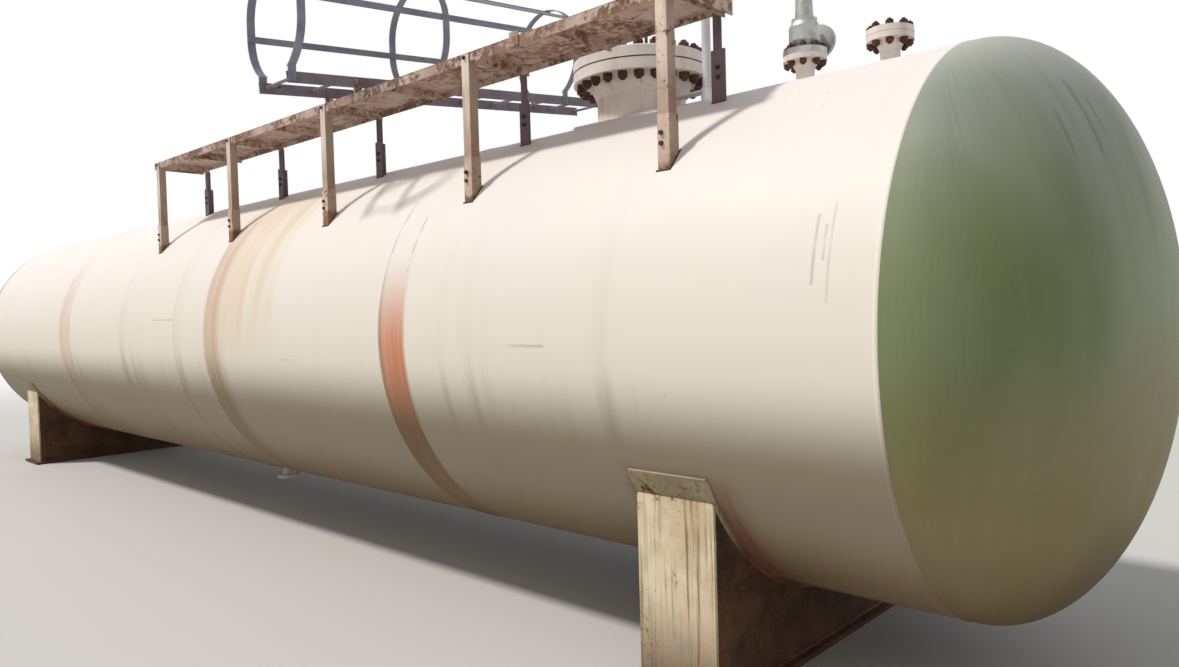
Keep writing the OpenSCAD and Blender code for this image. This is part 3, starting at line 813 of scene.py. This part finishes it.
def tankPoint(degrees, x, radius=tankRadius):       # at an angle from the crest, towards -Y
    turn = math.radians(degrees)
    return Vector((x, -radius * math.sin(turn), axisHeight + radius * math.cos(turn)))


# Weld beads

weldLook = {
    "ringWidth": 0.009,         # half the width of a seam bead
    "ringHeight": 0.0032,
    "steps": 200,
    "courseLength": 2.855,
    "longSeams": (150, -128, 146, -133),        # degrees from the crest, course by course
    "overlap": 0.01,
    "fillet": 0.0065,
    "padRadius": 0.396, "neckRadius": 0.2555, "nozzleRadius": 0.0462,
}


def beadRound(x, radius, halfWidth, halfHeight, start=0, sweep=360):     # start is counted from the crest
    piece = newShape("circle", vertices=8, radius=1, rotation=(math.pi / 2, 0, 0))
    piece.scale = (halfWidth, 1, halfHeight)
    moved(piece, (0, 0, radius))
    moved(piece, (x, 0, axisHeight), (math.radians(start), 0, 0))
    editAll(piece)
    bpy.ops.mesh.spin(steps=max(8, round(weldLook["steps"] * sweep / 360)), angle=-math.radians(sweep),
                      center=(x, 0, axisHeight), axis=(1, 0, 0))
    tidyMesh(piece)
    return piece


def beadStraight(start, end, radius):
    start, end = Vector(start), Vector(end)
    piece = newShape("cylinder", vertices=8, radius=radius, depth=(end - start).length)
    insetTop(piece, radius * 0.4, radius * 0.3, both=True)
    piece.matrix_world = facing((start + end) / 2, end - start)
    applyPlace(piece)
    return piece


def beadOn(piece, target, thickness, upward=False):     # an outline dropped onto a node and made round
    pick(piece)
    wrap = piece.modifiers.new("onto", "SHRINKWRAP")
    wrap.target = nodes[target]
    wrap.wrap_method = "PROJECT"
    wrap.use_project_z = True
    wrap.use_positive_direction = upward
    wrap.use_negative_direction = not upward
    bpy.ops.object.modifier_apply(modifier=wrap.name)
    bpy.ops.object.convert(target="CURVE")
    curve = bpy.context.object.data
    curve.bevel_depth = thickness
    curve.bevel_resolution = 2
    curve.use_fill_caps = True
    bpy.ops.object.convert(target="MESH")
    piece = bpy.context.object
    tidyMesh(piece)
    return piece


def circleBead(target, x, radius, thickness, z, upward=False):
    circle = newShape("circle", vertices=96, radius=radius, location=(x, 0, z))
    return beadOn(circle, target, thickness, upward)


def makeSeams(look):
    edges = [frontSeam - look["courseLength"] * i for i in range(4)] + [rearSeam]
    welds = [beadRound(x, tankRadius, look["ringWidth"], look["ringHeight"]) for x in edges]
    for angle, front, rear in zip(look["longSeams"], edges, edges[1:]):
        ends = tankPoint(angle, front - look["overlap"]), tankPoint(angle, rear + look["overlap"])
        welds.append(beadStraight(*ends, look["ringHeight"] * 1.3))
    finishPiece(joinPieces(welds), "shellSeams", shellPaint, 60)


def makeNozzleWelds(look):
    top, fillet = coverHigh.z, look["fillet"]
    welds = [circleBead("shell", manwayX, look["padRadius"], fillet, top),
             circleBead("manway_pad", manwayX, look["neckRadius"], fillet * 1.2, top)]
    for name, z, upward in (("relief_nozzle", top, False), ("vapour_nozzle", top, False),
                            ("bottom_outlet", 0.05, True)):
        welds.append(circleBead("shell", middleX(name), look["nozzleRadius"], fillet * 0.8, z, upward))
    finishPiece(joinPieces(welds), "nozzleWelds", manwayPaint, 60)


saddleWeldLook = {
    "fillet": 0.008,
    "webReach": 57.3, "plateReach": 62.7,       # degrees from the tank's lowest line
    "edgeSeat": 0.004, "endSeat": 0.005, "webSeat": 0.0126,     # each bead's middle over the shell
}


def makeSaddleWelds(prefix, look):
    low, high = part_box(prefix + "_saddle_webs")
    wearLow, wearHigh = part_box(prefix + "_wear_plate")
    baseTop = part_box(prefix + "_base_plate")[1].z
    fillet, plate, web = look["fillet"], look["plateReach"], look["webReach"]
    welds = [beadRound(x, tankRadius + look["edgeSeat"], fillet, fillet, 180 - plate, 2 * plate)
             for x in (wearLow.x, wearHigh.x)]
    for angle in (plate - 180, 180 - plate):
        ends = [tankPoint(angle, x, tankRadius + look["endSeat"]) for x in (wearLow.x, wearHigh.x)]
        welds.append(beadStraight(*ends, fillet))
    for x in (low.x, high.x):
        welds.append(beadRound(x, tankRadius + look["webSeat"], fillet, fillet, 180 - web, 2 * web))
        welds.append(beadStraight((x, low.y, baseTop), (x, high.y, baseTop), fillet))
    finishPiece(joinPieces(welds), prefix + "SaddleWelds", wearPaint, 60)


# The outer posts and their feet, with each angle's corner on its other side

turnLook = {"pastMiddle": 0.035, "footShorter": 0.01, "legEnd": -0.896}


def turnAngles(node, name, material, look):
    piece = bpy.data.objects.new(name, nodes[node].data.copy())
    bpy.context.collection.objects.link(piece)
    for point in piece.data.vertices:
        middle = min(outerMiddles, key=lambda x: abs(x - point.co.x))
        point.co.x = 2 * middle - point.co.x
        if point.co.x < middle - look["pastMiddle"]:
            point.co.x += look["footShorter"]       # the feet's legs end with those of the posts
    tidyMesh(piece)
    editAll(piece)
    bpy.ops.mesh.bisect(plane_co=(0, look["legEnd"], 0), plane_no=(0, 1, 0), use_fill=True,
                        clear_outer=True)
    tidyMesh(piece)
    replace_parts(finishPiece(piece, name, material, 30), node)


for i, node in enumerate(outerPosts):
    turnAngles(node, f"outerPost{i + 1}", postPaint, turnLook)
turnAngles("outer_post_feet", "outerPostFeet", postFootPaint, turnLook)
print("outer posts turned")


footWeldLook = {"thickness": 0.008, "leg": 0.075, "fillet": 0.005, "cuts": 5}


def makeFootWelds(look):            # an angle's outline under each post, laid on the shell
    welds = []
    out = look["leg"] / 2 - look["thickness"]       # from a post's corner to the middle of its foot
    for name in outerPosts + innerPosts:
        low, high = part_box(name)
        side, corner = (-1, high.x) if name in outerPosts else (1, low.x)
        place = (corner + side * out, low.y + out, coverHigh.z)
        piece = newShape("plane", size=look["leg"], location=place)
        points = piece.data.vertices
        farCorner = max(points, key=lambda v: side * v.co.x + v.co.y).index
        editSome(piece, "VERT", points, lambda v: v.index == farCorner)
        bpy.ops.mesh.delete(type="VERT")
        bpy.ops.mesh.select_all(action="SELECT")
        bpy.ops.mesh.subdivide(number_cuts=look["cuts"])
        welds.append(beadOn(piece, "shell", look["fillet"]))
    finishPiece(joinPieces(welds), "postFootWelds", boltRust, 60)


makeSeams(weldLook)
makeNozzleWelds(weldLook)
for prefix in ("fixed", "sliding"):
    makeSaddleWelds(prefix, saddleWeldLook)
makeFootWelds(footWeldLook)
print("weld beads laid")


# Bolts, nuts and studs

hexLook = {"bevel": 0.09, "crown": 0.1, "washerRadius": 0.62, "washerBevel": 0.04, "washerCrown": 0.2}


def makeHex(across, height, washer=0.0):        # head or nut with its seat at the origin, top towards +Z
    piece = newShape("cylinder", vertices=6, radius=across / math.sqrt(3), depth=height,
                     location=(0, 0, washer + height / 2))
    editTop(piece)
    bpy.ops.mesh.inset(thickness=across * hexLook["bevel"], depth=0)
    bpy.ops.transform.translate(value=(0, 0, height * hexLook["crown"]))
    leaveEdit()
    if washer:
        ring = newShape("cylinder", vertices=18, radius=across * hexLook["washerRadius"], depth=washer,
                        location=(0, 0, washer / 2))
        insetTop(ring, across * hexLook["washerBevel"], washer * hexLook["washerCrown"])
        piece = joinPieces([piece, ring])
    return piece


def makeStud(length, look):         # nuts at both ends, the lower seat at the origin
    diameter, across, nut = look["diameter"], look["across"], look["nut"]
    top = moved(makeHex(across, nut), (0, 0, length))
    bottom = moved(makeHex(across, nut), rotation=(math.pi, 0, 0))
    rod = newShape("cylinder", vertices=14, radius=diameter / 2, location=(0, 0, length / 2),
                   depth=length + 2 * (nut * (1 + hexLook["crown"]) + look["tail"]))
    insetTop(rod, diameter * 0.12, diameter * 0.08, both=True)
    return joinPieces([rod, top, bottom])


def ringPlaces(x, z, look, turned=0):
    places = []
    for i in range(look["count"]):
        angle = math.radians(look["first"] + 360 / look["count"] * i)
        place = (x + look["circle"] * math.cos(angle), look["circle"] * math.sin(angle), z)
        places.append(facing(place, (0, 0, 1), angle + (i * turned % 60) / 57))
    return places


def ringOfStuds(name, x, low, high, look):
    places = ringPlaces(x, low, look, 37)       # each nut is turned as the spanner left it
    finishPiece(repeat(makeStud(high - low, look), places), name, boltRust)


manwayStudLook = {"diameter": 0.0318, "across": 0.050, "nut": 0.031, "tail": 0.009, "circle": 0.343,
                  "count": 24, "first": 7.5}
nozzleStudLook = {"diameter": 0.019, "across": 0.032, "nut": 0.019, "tail": 0.006, "circle": 0.08415,
                  "count": 8, "first": 22.5}


def makeFlangeStuds():
    ringOfStuds("manwayStuds", manwayX, 2 * coverLow.z - coverHigh.z, coverHigh.z, manwayStudLook)
    low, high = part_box("vapour_cover")
    thick = high.z - low.z
    ringOfStuds("vapourStuds", middleX("vapour_cover"), low.z - thick, high.z, nozzleStudLook)
    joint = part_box("relief_nozzle")[1].z
    ringOfStuds("reliefStuds", middleX("relief_nozzle"), joint - thick, joint + thick, nozzleStudLook)


gasketLook = {"proud": 0.0012, "inside": 0.04, "thickness": 0.006}


def makeGasket(look):               # edge of the sheet between the manway's flanges
    radius, inner = flangeRadius + look["proud"], flangeRadius - look["inside"]
    middle = (manwayX, 0, coverLow.z)
    piece = newShape("circle", vertices=96, radius=radius, location=middle)
    editAll(piece)
    bpy.ops.mesh.extrude_region_move()
    bpy.ops.transform.resize(value=(inner / radius, inner / radius, 1), center_override=middle)
    pick(piece)
    wall = piece.modifiers.new("wall", "SOLIDIFY")
    wall.thickness = look["thickness"]
    wall.offset = 0
    bpy.ops.object.modifier_apply(modifier=wall.name)
    tidyMesh(piece)
    finishPiece(piece, "manwayGasket", gasketSheet)


liftLook = {
    "offset": 0.045,            # from the cover's middle, under the arm's end
    "bar": 0.0085, "lugRadius": 0.045, "lugRise": 0.018, "lugLegs": 0.02, "eye": 0.026,
    "rod": 0.009, "rodPast": 0.05, "rodEnd": 0.002,
    "nut": (0.030, 0.016, 0.003), "nutsOff": (-0.002, 0.018),       # over and under the arm
}


def makeLiftingGear(look):
    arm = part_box("davit_arm")[1]
    tube, armZ = arm.y, arm.z - arm.y
    x, bar, eye = manwayX + look["offset"], look["bar"], look["eye"]
    lugZ = coverHigh.z + look["lugRise"]
    lug = newShape("torus", major_radius=look["lugRadius"], minor_radius=bar, major_segments=32,
                   minor_segments=12, rotation=(math.pi / 2, 0, 0))
    editAll(lug)
    bpy.ops.mesh.bisect(plane_co=(0, 0, 0), plane_no=(0, 0, 1), clear_inner=True)
    bpy.ops.mesh.extrude_region_move(TRANSFORM_OT_translate={"value": (0, 0, -look["lugLegs"])})
    moved(lug, (x, 0, lugZ))
    eyeZ = lugZ + look["lugRadius"] + eye - 2 * bar
    ring = newShape("torus", major_radius=eye, minor_radius=bar, major_segments=28,
                    minor_segments=12, location=(x, 0, eyeZ), rotation=(0, math.pi / 2, 0))
    low, high = eyeZ + eye, armZ + tube + look["rodPast"]
    rod = newShape("cylinder", vertices=16, radius=look["rod"], depth=high - low,
                   location=(x, 0, (high + low) / 2))
    insetTop(rod, look["rodEnd"], look["rodEnd"])
    above, below = look["nutsOff"]
    nuts = [moved(makeHex(*look["nut"]), (x, 0, z)) for z in (armZ + tube + above, armZ - tube - below)]
    finishPiece(joinPieces([lug, ring, rod] + nuts), "coverLiftingGear", boltRust, 45)


valveBoltLook = {"across": 0.013, "height": 0.008, "circle": 0.0535, "rise": 0.18, "count": 6, "first": 30}


def makeValveBolts(look):
    places = ringPlaces(middleX("relief_nozzle"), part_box("relief_valve")[0].z + look["rise"], look)
    bolts = repeat(makeHex(look["across"], look["height"]), places)
    finishPiece(bolts, "valveBonnetBolts", valveMetal)


postBoltLook = {"across": 0.017, "height": 0.008, "washer": 0.003, "offMiddle": 0.006,
                "footPlate": 0.008, "belowFootTop": (0.08, 0.125), "belowPostTop": 0.018}


def makePostBolts(look):
    places = []
    for name in outerPosts + innerPosts:
        low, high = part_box(name)
        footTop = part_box(name.split("_")[0] + "_post_feet")[1].z
        middle = middleX(name) + (-look["offMiddle"] if name in outerPosts else look["offMiddle"])
        for drop in look["belowFootTop"]:
            place = (middle, low.y - look["footPlate"], footTop - drop)
            places.append(facing(place, (0, -1, 0), drop * 9))
        places.append(facing((middle, low.y, high.z - look["belowPostTop"]), (0, -1, 0), middle))
    bolts = repeat(makeHex(look["across"], look["height"], look["washer"]), places)
    finishPiece(bolts, "postBolts", boltRust)


makeFlangeStuds()
makeGasket(gasketLook)
makeLiftingGear(liftLook)
makeValveBolts(valveBoltLook)
makePostBolts(postBoltLook)
print("bolts and lifting gear in place")


# Ladder and cage fixings, placed along the tipped ladder

cageLook = {
    "middle": 0.352, "side": 0.09, "halfWidth": 0.31,       # the hoops' bends over the ladder
    "strip": 0.006,
    "hoops": (0.025, 1.055, 2.285),
    "straps": ((-90, 0), (-46, 1), (0, 1), (46, 1), (84, 1)),       # angle, and 1 on the upper bend
    "clips": (0.02, 0.048),
    "boltAcross": 0.017, "boltHeight": 0.007,
}


def ladderFrame():
    points = [v.co for v in nodes["ladder_left_stringer"].data.vertices]
    outer = min(points, key=lambda c: (round(c.z, 4), c.y)).copy()
    inner = max(points, key=lambda c: c.y).copy()
    tilt = math.atan2(inner.z - outer.z, inner.y - outer.y)
    left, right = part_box("ladder_left_stringer")[0].x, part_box("ladder_right_stringer")[1].x
    origin = Vector(((left + right) / 2, outer.y, outer.z))
    return Matrix.Translation(origin) @ Matrix.Rotation(tilt, 4, "X"), tilt, (right - left) / 2


def makeCageBolts(look):
    laid, tilt, half = ladderFrame()
    places = []

    def boltAt(across, along, up, out, turn):
        places.append(facing(laid @ Vector((across, along + up * math.tan(tilt), up)), out, turn))

    for along in look["hoops"]:
        for angle, upper in look["straps"]:
            sine, cosine = math.sin(math.radians(angle)), math.cos(math.radians(angle))
            up = look["middle"] + upper * look["side"] + look["halfWidth"] * cosine
            boltAt(look["halfWidth"] * sine, along, up, laid.to_3x3() @ Vector((sine, 0, cosine)), along)
        for side in (-1, 1):
            for up in look["clips"]:
                boltAt(side * (half + look["strip"]), along, up, (side, 0, 0), up * 30)
    bolts = repeat(makeHex(look["boltAcross"], look["boltHeight"]), places)
    finishPiece(bolts, "cageBolts", cagePaint)


rungLook = {"radius": 0.0105, "weld": 0.0032, "count": 10, "first": 0.04, "pitch": 0.3, "rise": 0.0325}


def makeRungWelds(look):
    laid, _, half = ladderFrame()
    places = []
    for i in range(look["count"]):
        for side in (-1, 1):
            place = (side * (half - look["radius"]), look["first"] + look["pitch"] * i, look["rise"])
            places.append(facing(laid @ Vector(place), (side, 0, 0)))
    ring = newShape("torus", major_radius=look["radius"], minor_radius=look["weld"], major_segments=16,
                    minor_segments=6)
    finishPiece(repeat(ring, places), "rungWelds", ladderPaint, 60)


makeCageBolts(cageLook)
makeRungWelds(rungLook)
print("ladder fixings in place")


# Raised tread pattern on the walkway

treadLook = {"pitch": 0.036, "long": 0.026, "wide": 0.0075, "high": 0.0016, "top": 0.55, "margin": 0.02}


def makeTread(name, turn, shift, look):
    tear = newShape("cylinder", vertices=6, radius=0.5, depth=look["high"] * 2)
    editTop(tear)
    bpy.ops.transform.resize(value=(look["top"], look["top"], 1))
    leaveEdit()
    tear.scale = (look["long"], look["wide"], 1)
    applyPlace(tear)
    inset = look["margin"] + shift
    moved(tear, (deckLow.x + inset, deckLow.y + inset, deckHigh.z), (0, 0, math.radians(turn)))
    step = look["pitch"]
    for stride, reach in (((step, 0, 0), deckHigh.x - deckLow.x), ((0, step, 0), deckHigh.y - deckLow.y)):
        row = tear.modifiers.new("row", "ARRAY")
        row.use_relative_offset = False
        row.use_constant_offset = True
        row.constant_offset_displace = stride
        row.count = int((reach - 2 * look["margin"] - shift) / step) + 1
        bpy.ops.object.modifier_apply(modifier=row.name)
    finishPiece(tear, name, walkwayPaint, 20)


makeTread("treadBars", 45, 0, treadLook)
makeTread("treadCross", -45, treadLook["pitch"] / 2, treadLook)
print("tread laid")


# Floor, world and lamp

studio = {
    "floorSize": 160,
    "floorColour": (0.66, 0.65, 0.63, 1),
    "floorFade": (9, 26),       # metres from the tank's middle over which the floor turns white
    "worldStrength": 0.38,
    "worldColour": (0.93, 0.96, 1, 1),
    "white": (1, 1, 1, 1),
    "sunStrength": 2.35,
    "sunAngle": 6,
    "sunTurn": (37, 0, -42),
    "sunColour": (1, 0.965, 0.91),
}


def floorMaterial(look):
    material, tree = newMaterial("studioFloor")
    matt = tree.nodes["Principled BSDF"]
    feed(matt, {"Base Color": look["floorColour"], "Roughness": 0.9})
    white = put(tree, "Emission", {"Strength": 1.0})
    far = put(tree, "VectorMath", {0: objectPlace(tree)}, operation="LENGTH").outputs["Value"]
    seen = times(fade(far, *look["floorFade"]), put(tree, "LightPath").outputs["Is Camera Ray"])
    mix = put(tree, "MixShader", {0: seen, 1: matt.outputs[0], 2: white.outputs[0]})
    feed(tree.nodes["Material Output"], {"Surface": mix.outputs[0]})
    return material


def makeStudio(look):
    low, high = cadBox
    middle = (low + high) / 2
    deselect()
    bpy.ops.mesh.primitive_circle_add(vertices=96, radius=look["floorSize"] / 2, fill_type="NGON",
                                      location=(middle.x, middle.y, 0))
    floor = bpy.context.object      # its place stays on the object, for the fade on Object coordinates
    floor.name = "studioFloor"
    floor.data.materials.append(floorMaterial(look))

    world = bpy.data.worlds.new("studioWorld")
    bpy.context.scene.world = world
    world.use_nodes = True
    tree = world.node_tree
    rays = put(tree, "LightPath").outputs
    seen = larger(larger(rays["Is Camera Ray"], rays["Is Glossy Ray"]), rays["Is Transmission Ray"])
    strength = put(tree, "MapRange", {0: seen, 3: look["worldStrength"], 4: 1.0}).outputs[0]
    feed(tree.nodes["Background"], {"Strength": strength,
                                    "Color": blend(seen, look["worldColour"], look["white"])})

    bpy.ops.object.light_add(type="SUN", rotation=[math.radians(a) for a in look["sunTurn"]])
    sun = bpy.context.object
    sun.name = "softSun"
    sun.data.energy = look["sunStrength"]
    sun.data.angle = math.radians(look["sunAngle"])
    sun.data.color = look["sunColour"]
    bpy.context.scene.view_settings.view_transform = "Standard"


makeStudio(studio)
print("studio ready")
